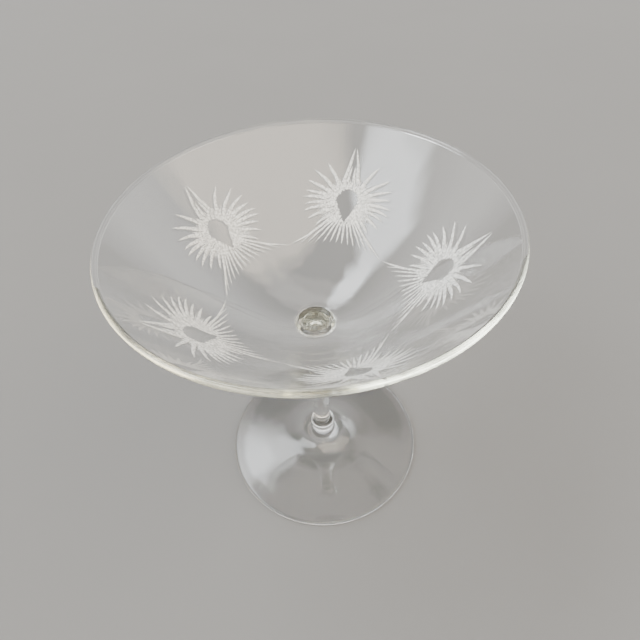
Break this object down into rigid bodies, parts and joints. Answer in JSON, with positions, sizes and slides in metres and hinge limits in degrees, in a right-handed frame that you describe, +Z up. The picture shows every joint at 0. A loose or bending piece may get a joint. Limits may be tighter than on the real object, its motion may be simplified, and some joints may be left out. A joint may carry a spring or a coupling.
{
  "type": "martini glass",
  "caption": "Stemmed cocktail glass with a shallow engraved bowl, a merese, a slender solid stem, a collar and a flared round foot.",
  "frame": {"origin": "centre of the foot's resting plane", "axes": "+Z up along the glass's axis of turning, from the foot to the rim; +X and +Y are any two directions across it, with the engraved motifs' places measured from +X"},
  "size_m": [0.112, 0.112, 0.116],
  "materials": {
    "bowl_glass": "clear blown glass, fire-polished, with a faint straw tint where the wall is seen edge-on",
    "solid_glass": "clear solid glass, fire-polished",
    "engraved_frost": "wheel-engraved, white and matte, finely stippled"
  },
  "bodies": {
    "root": {"bowl": "bowl_glass", "merese": "solid_glass", "stem": "solid_glass", "foot_collar": "solid_glass", "foot": "solid_glass"}
  },
  "joints": []
}
